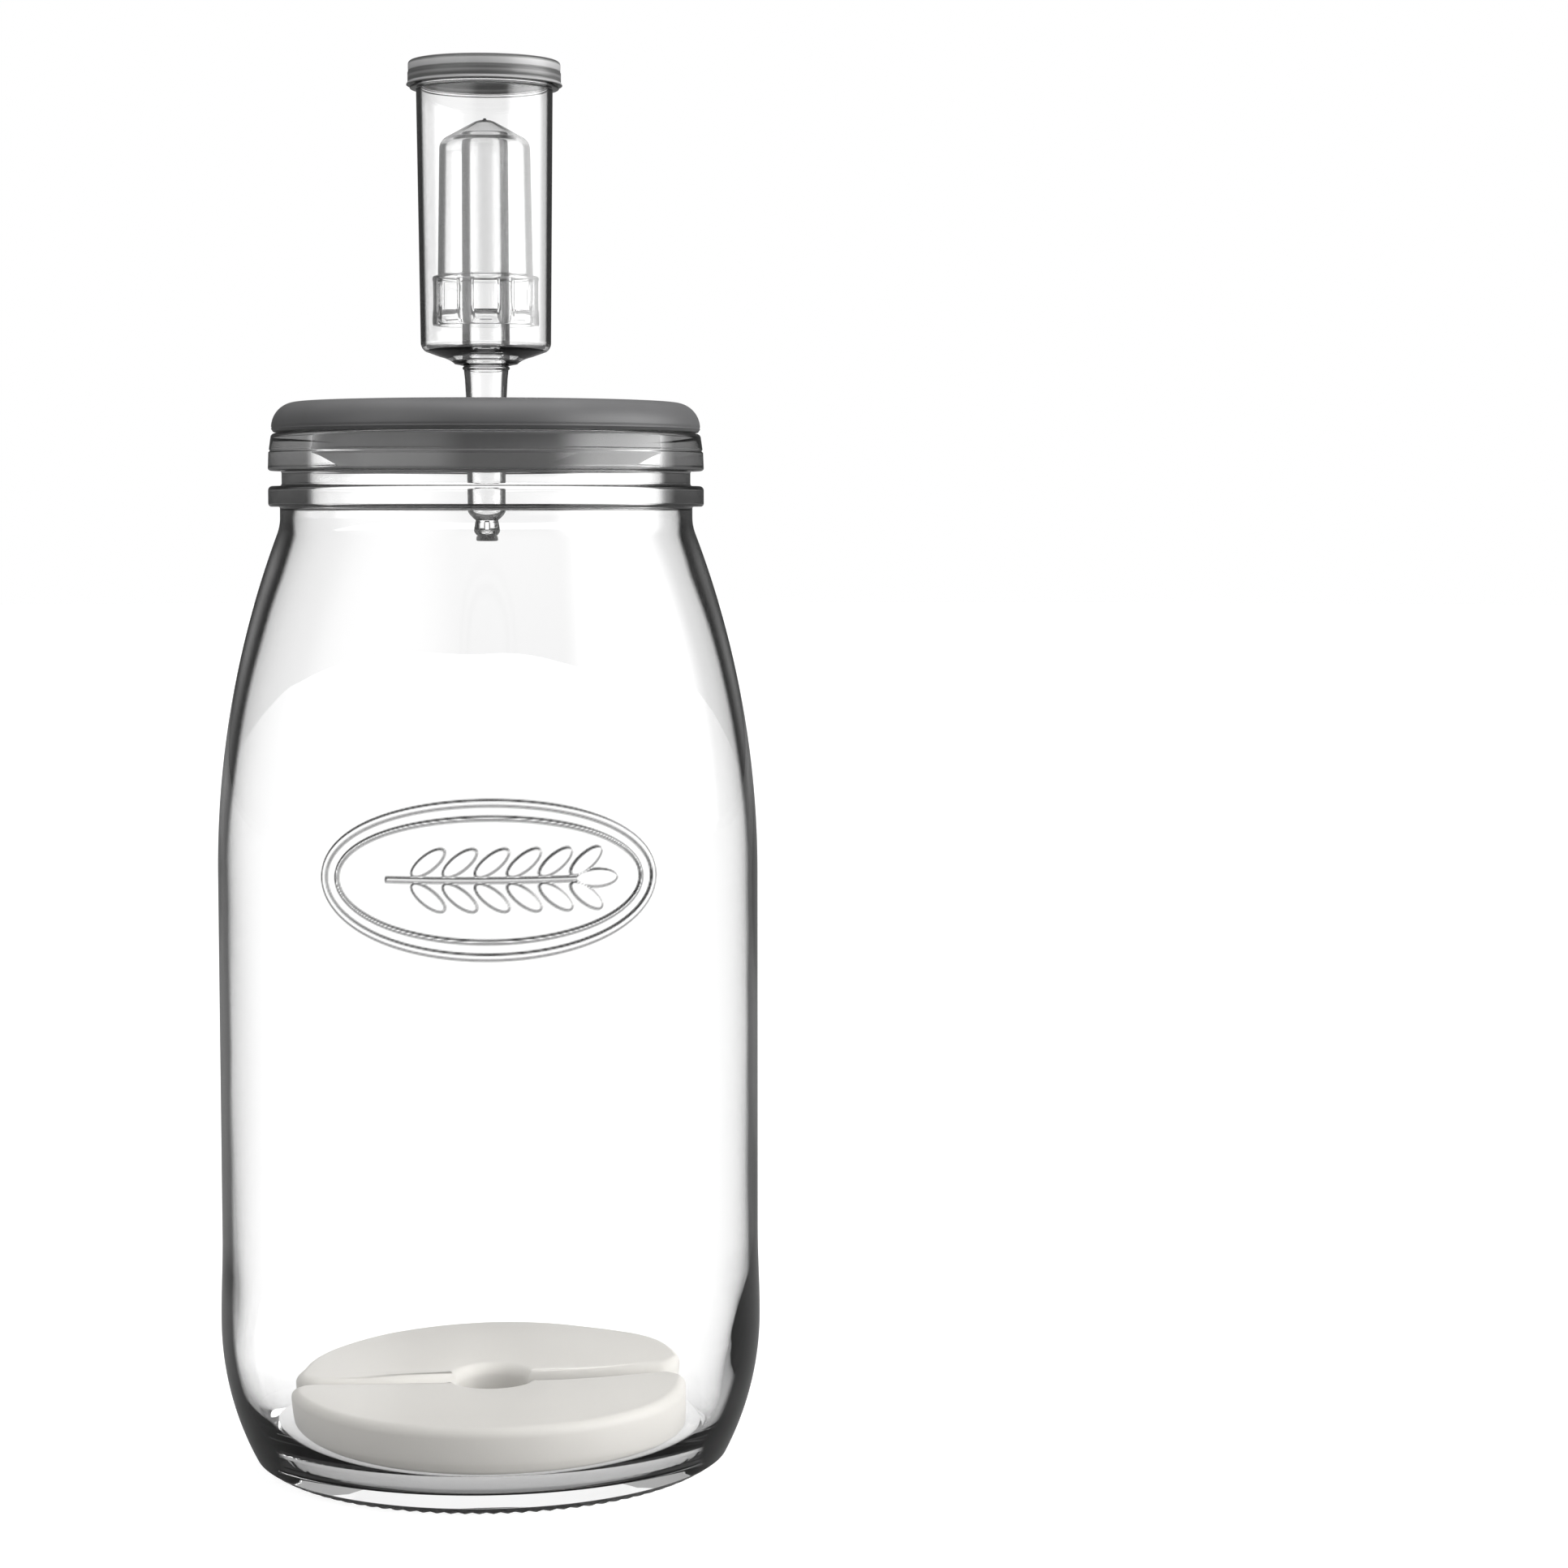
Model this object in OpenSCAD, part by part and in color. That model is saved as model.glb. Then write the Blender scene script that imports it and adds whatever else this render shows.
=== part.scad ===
// Three-litre glass fermentation jar: silicone lid, three-piece airlock and
// two half-round ceramic weights that hold the food under its brine.
// Origin: the centre of the base, on the table. +Z is up, millimetres.

/* [Glass jar] */
// Outer diameter of the straight wall
jar_d = 137; // [134:1:142]
// Height of the glass rim above the table
jar_h = 263.4; // [255:0.1:275]
// Thickness of the side wall
wall = 2.6; // [2.4:0.1:3.6]
// Height of the inner floor above the table
floor_z = 7; // [6.4:0.2:9]
// Rise of the hollow under the base, at its centre
punt_rise = 2.6; // [1:0.2:3.4]
// Diameter of the mouth, inside the rim
mouth_d = 89.2; // [87:0.2:91]

/* [Lid] */
// Outer diameter of the lid
lid_d = 108; // [104:1:110]
// Thickness of the lid above the rim
lid_t = 7.8; // [7.2:0.1:9]
// Depth of the plug that goes into the mouth
plug_depth = 9.4; // [8.4:0.2:10.4]

/* [Airlock] */
// Outer diameter of the water cup, at its top
cup_d = 34.2; // [33.8:0.1:35.4]
// Height of the water cup, from its stem's collar to its rim
cup_h = 73.2; // [71.5:0.1:80]
// Outer diameter of the stem, where it goes through the lid
stem_d = 10; // [9.6:0.1:10.4]
// Length of the stem under the lid's top face
stem_len = 35; // [32:0.5:38]
// Outer diameter of the bell's skirt
bell_d = 26.8; // [26:0.1:27]
// Number of windows in the bell's skirt
bell_windows = 8; // [6:2:8]
// Number of vent holes in the cap
cap_vents = 6; // [4:2:8]

/* [Weights] */
// Diameter of the two halves, laid together as a disc
weight_d = 103.6; // [96:0.2:104.4]
// Thickness of a weight
weight_t = 14; // [10:1:18]
// Gap between the straight edges
weight_gap = 4; // [2:0.5:5]
// Diameter of the finger hole at the centre
finger_d = 19; // [14:1:24]

/* [Hidden] */

// Smoothness of turned surfaces
$fn = 96;
// Gap between pieces that rest on or slide past each other
gap = 0.25;

// Glass: radii and heights of the outer face, from the base up
jar_r = jar_d / 2;
mouth_r = mouth_d / 2;
punt_r = 46.5;
ring_r = 51;
heel_r = jar_r - 7.9;
heel_z = 3.4;
bulge = 0.5;
bulge_z = 38;
bulge_end_z = 60;
shoulder_z = jar_h - 111.4;
neck_r = jar_r - 16.5;
neck_z = jar_h - 21;
neck_fillet = 12;
bead_r = neck_r + 2.9;
bead_z = jar_h - 18.4;
groove_r = neck_r - 0.5;
groove_z = jar_h - 13.2;
tier_z = jar_h - 9.4;
step_z = jar_h - 4.4;
tier_r = neck_r + 2.9;
rim_r = neck_r + 2.2;

// Glass: inner face
inner_r = jar_r - wall;
floor_r = inner_r - 16;
knee_z = 36;
neck_wall = 3.4;
throat_r = neck_r - neck_wall;
throat_z = jar_h - 18.3;
throat_drop = 0.9;
inner_fillet = neck_fillet + neck_wall;

// Lid
lid_r = lid_d / 2;
seat_z = jar_h + gap;
lid_top = jar_h + lid_t;
lid_round = lid_t - 1.4;
lid_web = 3.4;
plug_r = mouth_r - 0.3;
plug_z = jar_h - plug_depth;
plug_foot_r = plug_r - 7.2;
plug_hollow_r = plug_foot_r - 3.2;
hub_r = 9;
stem_r = stem_d / 2;
stem_bore_r = stem_r + 0.2;

// Airlock cup: radii and heights
collar_z = lid_top + 8.4;
cup_r = cup_d / 2;
cup_foot_r = cup_r - 0.7;
cup_wall = 1.15;
cup_top = collar_z + cup_h;
rim_drop = 2.7;
flange_r = cup_r + 1.6;
flange_t = 0.7;
riser_r = 5.8;
riser_bore_r = 4.5;
stem_wall = 1.2;
stem_tip_z = lid_top - stem_len;
tip_bore_r = 2;

// Bell: it hangs on the riser, its cone on the riser's rim
skirt_r = bell_d / 2;
skirt_z = collar_z + 10.8;
ledge_z = skirt_z + 12.5;
shell_r = skirt_r - 1.4;
shell_t = 1;
cone_z = skirt_z + 47.1;
window_w = 6.2;
window_h = 7.9;
riser_top = cone_z + 0.4;

// Cap
cap_z = cup_top - rim_drop + gap;
cap_top = cap_z + 6;
cap_r = cup_r + 2.1;
cap_t = 1.5;
vent_r = 0.7;
vent_circle_r = 8;

// Weights
weight_r = weight_d / 2;
weight_z = floor_z + gap;
weight_corner = 7;
weight_edge = 3;
finger_r = finger_d / 2;

// Points along a circular arc about c, from angle a0 to a1
function arc(c, r, a0, a1, n) =
    [for (i = [0:n]) let (a = a0 + (a1 - a0) * i / n) [c[0] + r * cos(a), c[1] + r * sin(a)]];

// Points along a quarter of an ellipse about c, from angle a0 to a1
function oval(c, rx, rz, a0, a1, n) =
    [for (i = [0:n]) let (a = a0 + (a1 - a0) * i / n) [c[0] + rx * cos(a), c[1] + rz * sin(a)]];

// Points of a smooth S-curve from p to q, level with the axis at both ends
function ease(p, q, n) =
    [for (i = [0:n]) let (t = i / n) [p[0] + (q[0] - p[0]) * (1 - cos(180 * t)) / 2,
                                      p[1] + (q[1] - p[1]) * t]];

// A line's points but its first, where it carries on from another line's last
function rest(line) = [for (i = [1:len(line) - 1]) line[i]];

// Radius of a circle that starts level and has gone dr across after dz along
function bow(dz, dr) = (dz * dz + dr * dr) / (2 * dr);

// Punt: a shallow dome under the base
punt_bow = bow(punt_r, punt_rise);
punt_line = arc([0, punt_rise - punt_bow], punt_bow, 90, 90 - asin(punt_r / punt_bow), 8);

// Heel: from the flat ring that the jar stands on up to the corner of the side
heel_bow = bow(heel_r - ring_r, heel_z);
heel_line = arc([ring_r, heel_bow], heel_bow, -90, asin((heel_r - ring_r) / heel_bow) - 90, 6);

// Lower side: one long curve out to the widest part, then back to the straight wall
side_bow = bow(bulge_z - heel_z, jar_r + bulge - heel_r);
side_line = arc([jar_r + bulge - side_bow, bulge_z], side_bow,
                -asin((bulge_z - heel_z) / side_bow), 0, 10);
bulge_line = ease([jar_r + bulge, bulge_z], [jar_r, bulge_end_z], 6);

// Shoulder: a long arc that meets the neck in a hollow fillet
shoulder_bow = bow(neck_z - shoulder_z, jar_r - neck_r) - neck_fillet;
shoulder_c = [jar_r - shoulder_bow, shoulder_z];
fillet_a = asin((neck_z - shoulder_z) / (shoulder_bow + neck_fillet));
shoulder_line = arc(shoulder_c, shoulder_bow, 0, fillet_a, 16);
fillet_line = arc([neck_r + neck_fillet, neck_z], neck_fillet, 180 + fillet_a, 180, 5);

// Inner shoulder: a shelf under the throat, a fillet, and an arc down to the straight wall
inner_bow = bow(neck_z - shoulder_z, inner_r - throat_r) - inner_fillet;
inner_a = asin((neck_z - shoulder_z) / (inner_bow + inner_fillet));
inner_shoulder_line = concat(
    ease([mouth_r, throat_z], [throat_r, throat_z - throat_drop], 6),
    arc([throat_r + inner_fillet, neck_z], inner_fillet, 180, 180 + inner_a, 5),
    rest(arc([inner_r - inner_bow, shoulder_z], inner_bow, inner_a, 0, 16))
);

// Ring above the shoulder, groove for a clip, and the two steps of the rim
finish_line = concat(
    [[neck_r - 0.3, bead_z]],
    arc([bead_r - 0.8, bead_z + 0.8], 0.8, -90, 0, 4),
    arc([bead_r - 0.6, groove_z - 0.6], 0.6, 0, 90, 3),
    arc([groove_r + 0.5, groove_z + 0.5], 0.5, -90, -180, 3),
    arc([groove_r + 0.5, tier_z - 0.5], 0.5, 180, 90, 3),
    arc([tier_r - 0.5, tier_z + 0.5], 0.5, -90, 0, 3),
    [[rim_r + 0.4, step_z - 0.3], [rim_r + 0.1, step_z]],
    [[rim_r + 0.4, step_z + 0.3]],
    arc([rim_r - 1.1, jar_h - 1.1], 1.1, 0, 90, 5),
    arc([mouth_r + 1.2, jar_h - 1.2], 1.2, 90, 180, 5)
);

module turned(points) rotate_extrude() polygon(points);

module glass_jar() color([0.86, 0.89, 0.9, 0.35]) turned(concat(
    punt_line, heel_line, rest(side_line), rest(bulge_line), shoulder_line, rest(fillet_line),
    finish_line, inner_shoulder_line,
    oval([floor_r, knee_z], inner_r - floor_r, knee_z - floor_z, 0, -90, 12),
    [[0, floor_z]]
));

// One moulding: a domed flange on the rim, and a hollow plug with a tapered foot
module silicone_lid() color([0.38, 0.38, 0.39]) turned(concat(
    [[stem_bore_r, lid_top], [stem_bore_r, plug_z + 0.6], [hub_r, plug_z + 0.6]],
    [[hub_r + 0.6, lid_top - lid_web], [plug_hollow_r - 0.5, lid_top - lid_web]],
    [[plug_hollow_r, plug_z + 0.3], [plug_hollow_r + 0.5, plug_z]],
    arc([plug_foot_r - 0.5, plug_z + 1], 1, -90, -62, 2),
    [[plug_r - 2.2, plug_z + 3]],
    arc([plug_r - 1.2, plug_z + 4.6], 1.2, -40, 0, 3),
    [[plug_r, seat_z]],
    arc([lid_r - 1, seat_z + 1], 1, -90, 0, 4),
    arc([lid_r - lid_round, lid_top - lid_round], lid_round, 0, 90, 8)
));

// Cup, centre tube and stem in one moulding
module airlock_cup() color([0.9, 0.92, 0.93, 0.4]) difference() {
    turned(concat(
        [[tip_bore_r, stem_tip_z], [2.5, stem_tip_z + 0.15], [3.1, stem_tip_z + 0.9], [3.35, stem_tip_z + 2]],
        [[2.85, stem_tip_z + 5.2], [3.3, stem_tip_z + 5.8], [stem_r - 0.25, stem_tip_z + 7.3]],
        [[stem_r, lid_top - 0.7], [stem_r + 0.5, collar_z - 0.2]],
        arc([stem_r + 0.5, collar_z + 0.25], 0.45, -60, 60, 4),
        [[stem_r + 0.7, collar_z + 0.85]],
        oval([cup_foot_r - 2, collar_z - 0.6], cup_foot_r - 9, 4, 152, 112, 5),
        arc([cup_foot_r - 2.6, collar_z + 6.6], 2.6, -58, 0, 5),
        [[cup_r, cup_top - rim_drop - flange_t - 0.1], [flange_r, cup_top - rim_drop - flange_t]],
        [[flange_r, cup_top - rim_drop], [cup_r, cup_top - rim_drop + 0.1]],
        arc([cup_r - 0.5, cup_top - 0.5], 0.5, 0, 90, 3),
        [[cup_r - cup_wall, cup_top]],
        arc([cup_foot_r - cup_wall - 1.6, collar_z + 6.8], 1.6, 0, -60, 4),
        [[8.2, collar_z + 3.5], [riser_r + 0.9, collar_z + 3.4], [riser_r + 0.2, collar_z + 4]],
        [[riser_r, riser_top], [riser_bore_r, riser_top]],
        [[riser_bore_r - 0.2, collar_z + 3], [stem_r + 0.4 - stem_wall, collar_z - 1]],
        [[stem_r - 0.2 - stem_wall, stem_tip_z + 9], [tip_bore_r + 0.2, stem_tip_z + 6.4]],
        [[tip_bore_r, stem_tip_z + 5]]
    ));
    // Slots that let gas into the tip
    for (a = [0, 90])
        rotate([0, 0, a])
            translate([-5, -0.7, stem_tip_z + 1.8])
                cube([10, 1.4, 2.8]);
}

// An upside-down cup: it rides up and down on the gas, and its windows let the gas out
module airlock_bell() color([0.9, 0.92, 0.93, 0.4]) difference() {
    turned(concat(
        [[skirt_r - 0.9, skirt_z], [skirt_r, skirt_z]],
        arc([skirt_r - 0.95, ledge_z - 0.8], 0.8, 0, 90, 4),
        [[shell_r + 0.1, ledge_z], [shell_r, ledge_z + 0.2]],
        arc([shell_r - 3.95, cone_z - 3], 3.4, 0, 61, 6),
        arc([0, cone_z - 1.6], 6, 61, 84, 4),
        [[0.4, cone_z + 4.4], [0.35, cone_z + 4.75], [0, cone_z + 4.8]],
        [[0, cone_z + 2.9], [2.2, cone_z + 2.7], [shell_r - 3, cone_z - 0.9]],
        arc([shell_r - 4.2, cone_z - 3.2], 2.6, 50, 0, 4),
        [[shell_r - shell_t, ledge_z - 0.9], [skirt_r - 1.05, ledge_z - 0.9]]
    ));
    for (i = [0:bell_windows / 2 - 1])
        rotate([0, 0, 360 / bell_windows * i + 90])
            translate([-skirt_r - 1, -window_w / 2, ledge_z - 0.9 - window_h])
                cube([2 * skirt_r + 2, window_w, window_h]);
}

// Push-fit cap: a skirt outside the cup's rim, a ring inside it, and vents in its top
module airlock_cap() color([0.55, 0.55, 0.56]) difference() {
    turned(concat(
        [[cup_r - cup_wall - 1.2, cap_top - cap_t], [cup_r - cup_wall - 1.2, cap_z - 0.4]],
        [[cup_r - cup_wall - 0.5, cap_z - 0.4], [cup_r - cup_wall - 0.3, cap_z]],
        [[cup_r - cup_wall - 0.3, cup_top + gap], [cup_r + 0.35, cup_top + gap]],
        [[cup_r + 0.35, cap_z + 0.6], [flange_r - 0.3, cap_z + 0.05], [cap_r + 0.35, cap_z]],
        [[cap_r + 0.1, cap_z + 0.7], [cap_r - 0.1, cap_z + 0.8], [cap_r, cap_z + 1]],
        [[cap_r, cap_z + 3.1], [cap_r - 0.12, cap_z + 3.25]],
        arc([cap_r - 1, cap_top - 0.9], 0.9, 0, 90, 5),
        [[0, cap_top], [0, cap_top - cap_t]]
    ));
    for (i = [0:cap_vents - 1])
        rotate([0, 0, 360 / cap_vents * i])
            translate([vent_circle_r, 0, cap_top - cap_t - 1])
                cylinder(r = vent_r, h = cap_t + 2, $fn = 24);
}

// Outline of half a disc with round corners, its straight edge towards -Y
module half_disc(inset) {
    r = weight_r - weight_corner;
    span = sqrt(r * r - weight_corner * weight_corner);
    offset(r = -inset, $fn = 32)
        intersection() {
            circle(r = weight_r, $fn = 120);
            hull() {
                for (side = [-1, 1])
                    translate([side * span, weight_corner])
                        circle(r = weight_corner, $fn = 32);
                translate([-weight_r, 2 * weight_corner])
                    square([weight_d, weight_r]);
            }
        }
}

// A half-round stone with soft edges and half of the finger hole in its straight side
module weight() color([0.9, 0.89, 0.86]) translate([0, weight_gap / 2, weight_z]) difference() {
    hull()
        for (a = [0, 30, 60, 90])
            translate([0, 0, weight_edge * (1 - sin(a))])
                linear_extrude(weight_t - 2 * weight_edge * (1 - sin(a)))
                    half_disc(weight_edge * (1 - cos(a)));
    translate([0, -weight_gap / 2, -1])
        cylinder(r = finger_r, h = weight_t + 2);
}

module weight_rear() weight();

module weight_front() rotate([0, 0, 180]) weight();

glass_jar();
silicone_lid();
airlock_cup();
airlock_bell();
airlock_cap();
weight_rear();
weight_front();
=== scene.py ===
# %% [markdown]
# # A glass fermentation jar with its airlock
# The jar holds vegetables under brine. A soft lid closes it, and an airlock in
# the lid lets gas out and no air in. The solid model of every piece comes in as
# a fixed frame, in metres, with +Z up and the jar standing on z = 0. Blender's
# work is the finish: clear glass and clear plastic, satin silicone, and glazed
# stone. Clear pieces show every facet of a solid model's mesh in their
# refractions, so they are turned again here with far smoother outlines.

import math

import bmesh
import bpy
from mathutils import Matrix, Vector, noise


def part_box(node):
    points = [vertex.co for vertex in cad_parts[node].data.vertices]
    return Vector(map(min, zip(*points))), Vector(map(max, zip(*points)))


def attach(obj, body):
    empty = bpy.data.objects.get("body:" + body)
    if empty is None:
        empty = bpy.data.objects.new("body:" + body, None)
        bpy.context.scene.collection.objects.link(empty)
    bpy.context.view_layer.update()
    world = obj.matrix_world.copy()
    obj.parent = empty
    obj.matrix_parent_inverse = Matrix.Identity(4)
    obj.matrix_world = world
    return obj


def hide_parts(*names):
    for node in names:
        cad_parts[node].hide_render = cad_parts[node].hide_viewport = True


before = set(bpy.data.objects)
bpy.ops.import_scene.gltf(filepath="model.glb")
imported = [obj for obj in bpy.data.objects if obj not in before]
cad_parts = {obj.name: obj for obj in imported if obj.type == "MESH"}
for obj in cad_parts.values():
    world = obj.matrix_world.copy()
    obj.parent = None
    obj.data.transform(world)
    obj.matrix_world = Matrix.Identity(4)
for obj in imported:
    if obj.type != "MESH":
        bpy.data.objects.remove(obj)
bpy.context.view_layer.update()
MM = 0.001
print("pieces in the frame:", sorted(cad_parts))

# %% [markdown]
# ## The sizes that everything follows
# Outlines are written in millimetres, as a maker would write them, and each
# starts from a height or a radius that is read from the frame. So a piece that
# is turned here fills the same room as the solid that it stands for.

# %% Read the main sizes
def reach(node):
    """The largest radius of a node, and its lowest and highest point, in mm."""
    low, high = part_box(node)
    return high.x / MM, low.z / MM, high.z / MM


wide_r, _, rim_z = reach("glass_jar")
lid_r, plug_z, lid_top = reach("silicone_lid")
flange_r, stem_tip_z, cup_top = reach("airlock_cup")
skirt_r, skirt_z, bell_top = reach("airlock_bell")
cap_r, cap_ring_z, cap_top = reach("airlock_cap")
print(f"jar {2 * wide_r:.1f} wide and {rim_z:.1f} high, whole object {cap_top:.1f} mm high")

# %% [markdown]
# ## The camera
# The rings of the jar look nearly flat, so the camera stands level with the
# shoulder and far away, on a long lens. It looks a little down and a little to
# the right, which puts the jar left of the middle.

# %% Place the camera
camera_data = bpy.data.cameras.new("camera")
camera_data.lens = 82.0
camera_data.sensor_width = 36.0
camera = bpy.data.objects.new("camera", camera_data)
camera.location = (0.0, -0.9108, 0.2457)
camera.rotation_euler = (math.radians(90 - 4.483), 0.0, math.radians(-4.738))
bpy.context.scene.collection.objects.link(camera)
bpy.context.scene.camera = camera
print("camera at", tuple(camera.location))

# %% [markdown]
# ## A white studio
# The background is pure white. Light that strong from every side would wash the
# grey lid out, so the world has two looks: plain white for what the camera sees,
# directly or through clear pieces, and a dimmer studio that lights the pieces
# and shows in their gloss. Each time a ray is thrown back inside the glass it
# sees less of the white and more of the studio, so thick glass finds darkness to
# show. A ray that has left a matt surface sees the studio only.

# %% Helpers that add and link nodes
left_per_turn = 0.4


def node_of(tree, kind, **values):
    """A new node, with values for its settings or for its input sockets by name."""
    made = tree.nodes.new(kind)
    for name, value in values.items():
        if hasattr(made, name):
            setattr(made, name, value)
        else:
            made.inputs[name.replace("_", " ")].default_value = value
    return made


def maths(tree, operation, *values):
    """A Math node's result; its values are sockets or numbers."""
    made = tree.nodes.new("ShaderNodeMath")
    made.operation = operation
    for socket, value in zip(made.inputs, values):
        if isinstance(value, (int, float)):
            socket.default_value = value
        else:
            tree.links.new(value, socket)
    return made.outputs[0]


def between(tree, value, low, high, to_low=0.0, to_high=1.0):
    """A soft step of a value from one number to another; all are sockets or numbers."""
    made = node_of(tree, "ShaderNodeMapRange", interpolation_type="SMOOTHSTEP")
    for name, given in (
        ("Value", value), ("From Min", low), ("From Max", high), ("To Min", to_low), ("To Max", to_high)
    ):
        if isinstance(given, (int, float)):
            made.inputs[name].default_value = given
        else:
            tree.links.new(given, made.inputs[name])
    return made.outputs["Result"]


def seen_as_background(tree):
    """1 for a ray that shows the background to the camera, directly or through clear pieces."""
    path = tree.nodes.new("ShaderNodeLightPath")
    seen = maths(tree, "MAXIMUM", path.outputs["Is Camera Ray"], path.outputs["Is Transmission Ray"])
    scattered = maths(tree, "MULTIPLY", path.outputs["Diffuse Depth"], 10.0)
    turns = maths(tree, "ADD", path.outputs["Glossy Depth"], scattered)
    return maths(tree, "MULTIPLY", seen, maths(tree, "POWER", left_per_turn, turns))


# %% [markdown]
# ## Soft light
# A lamp's hard outline would show in the glass as a bright window. So the light
# is painted on the world as broad patches with soft rims: the key at the right,
# a weaker fill at the left and a pale ceiling. One large lamp overhead is real,
# so that the floor gets a shadow.

# %% Make the world and hang the lamp
# Each patch: its direction, the two angles in degrees between which it fades, and its strength
patches = [
    ((0.96, -0.22, 0.12), (12, 42), 6.2),
    ((-0.8, -0.58, 0.15), (15, 45), 1.5),
    ((0.0, 0.0, 1.0), (25, 72), 1.0),
]
studio_dim = 0.08
world = bpy.data.worlds.new("studio")
world.use_nodes = True
bpy.context.scene.world = world
tree = world.node_tree
tree.nodes.clear()
direction = node_of(tree, "ShaderNodeTexCoord").outputs["Generated"]
level = studio_dim
for toward, (full, gone), strength in patches:
    nearness = node_of(tree, "ShaderNodeVectorMath", operation="DOT_PRODUCT")
    nearness.inputs[1].default_value = Vector(toward).normalized()
    tree.links.new(direction, nearness.inputs[0])
    edge_cos, core_cos = math.cos(math.radians(gone)), math.cos(math.radians(full))
    glow = between(tree, nearness.outputs["Value"], edge_cos, core_cos, 0.0, strength)
    level = maths(tree, "ADD", level, glow)
studio = tree.nodes.new("ShaderNodeBackground")
tree.links.new(level, studio.inputs["Color"])
white = node_of(tree, "ShaderNodeBackground", Color=(1, 1, 1, 1), Strength=1.0)
mixed = node_of(tree, "ShaderNodeMixShader")
tree.links.new(seen_as_background(tree), mixed.inputs[0])
tree.links.new(studio.outputs[0], mixed.inputs[1])
tree.links.new(white.outputs[0], mixed.inputs[2])
world_out = node_of(tree, "ShaderNodeOutputWorld")
tree.links.new(mixed.outputs[0], world_out.inputs["Surface"])

lamp_data = bpy.data.lights.new("overhead", "AREA")
lamp_data.shape = "DISK"
lamp_data.size = 0.9
lamp_data.energy = 3.0
overhead = bpy.data.objects.new("overhead", lamp_data)
overhead.location = (0.0, 0.0, 1.3)
bpy.context.scene.collection.objects.link(overhead)
print("world:", len(patches), "patches, and one lamp")

# %% [markdown]
# ## Outlines and turning
# A jar, a lid and a cup are all turned shapes. Each starts as a line of points
# in the XZ plane, and bmesh's spin takes that line once round the Z axis. A
# screw modifier would do it as well, but a spun mesh can be cut, dented and
# embossed afterwards. Round stretches come from `arc`, and a long straight
# stretch gets points of its own from `even`, so that its faces stay small. Smooth
# shading would bend a flat face towards its corners, so `braced` puts a point
# just beside each corner, and only that narrow strip is shaded round.

# %% Helpers that draw outlines
def oval(centre, across, up, start, end, steps):
    """Points on an ellipse about (r, z), from one angle to another, in degrees."""
    turn = [math.radians(start + (end - start) * i / steps) for i in range(steps + 1)]
    return [(centre[0] + across * math.cos(a), centre[1] + up * math.sin(a)) for a in turn]


def arc(centre, radius, start, end, steps):
    """Points on a circular arc about (r, z)."""
    return oval(centre, radius, radius, start, end, steps)


def ease(start, end, steps):
    """An S-curve that leaves and arrives upright."""
    share = [i / steps for i in range(steps + 1)]
    across, up = end[0] - start[0], end[1] - start[1]
    return [(start[0] + across * (1 - math.cos(math.pi * t)) / 2, start[1] + up * t) for t in share]


def even(start, end, pitch):
    """Points along a straight line, about a pitch apart, without its two ends."""
    count = max(1, round(math.dist(start, end) / pitch))
    return [tuple(a + (b - a) * i / count for a, b in zip(start, end)) for i in range(1, count)]


def bow(along, across):
    """Radius of an arc that starts level and has moved across by the end."""
    return (along**2 + across**2) / (2 * across)


def tidy(points):
    """The points without those that repeat the one before."""
    kept = points[:1]
    for p in points[1:]:
        if math.dist(p, kept[-1]) > 1e-4:
            kept.append(p)
    return kept


def corner(a, b, c):
    """How much a line turns at b, in degrees."""
    turn = math.atan2(c[1] - b[1], c[0] - b[0]) - math.atan2(b[1] - a[1], b[0] - a[0])
    return abs(math.degrees((turn + math.pi) % (2 * math.pi) - math.pi))


def braced(points):
    """The points, with one more near each corner of a long stretch, which keeps it flat in its shading."""
    made = points[:1]
    for i in range(1, len(points)):
        a, b = Vector(points[i - 1]), Vector(points[i])
        way = (b - a).normalized() * 0.2
        if (b - a).length > 1.0 and i > 1 and corner(points[i - 2], a, b) > 8:
            made.append(tuple(a + way))
        if (b - a).length > 1.0 and i < len(points) - 1 and corner(a, b, points[i + 1]) > 8:
            made.append(tuple(b - way))
        made.append(points[i])
    return made


# %% Helpers that turn an outline into a piece
def turned(outline, steps, hollow=()):
    """A bmesh of an outline in mm, spun once round the Z axis; the points in `hollow` are marked."""
    marked = {(round(r, 4), round(z, 4)) for r, z in hollow}
    flagged = [(r, z, float((round(r, 4), round(z, 4)) in marked)) for r, z in tidy(outline)]
    points = braced(flagged)
    mesh = bmesh.new()
    inner = mesh.verts.layers.float.new("inner")
    line = [mesh.verts.new((r * MM, 0, z * MM)) for r, z, _ in points]
    for vert, (_, _, flag) in zip(line, points):
        vert[inner] = flag
    edges = [mesh.edges.new(pair) for pair in zip(line, line[1:])]
    if points[0][0] > 0:
        edges.append(mesh.edges.new((line[-1], line[0])))
    bmesh.ops.spin(
        mesh, geom=line + edges, cent=(0, 0, 0), axis=(0, 0, 1), angle=2 * math.pi, steps=steps, use_merge=True
    )
    bmesh.ops.remove_doubles(mesh, verts=mesh.verts, dist=1e-7)
    bmesh.ops.recalc_face_normals(mesh, faces=mesh.faces)
    return mesh


def radius(point):
    """How far a point in metres lies from the axis, in mm."""
    return math.hypot(point.x, point.y) / MM


def finish_inside(mesh):
    """Gives the faces of the hollow the second material."""
    inner = mesh.verts.layers.float["inner"]
    for face in mesh.faces:
        face.material_index = int(all(v[inner] > 0.5 for v in face.verts))


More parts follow.
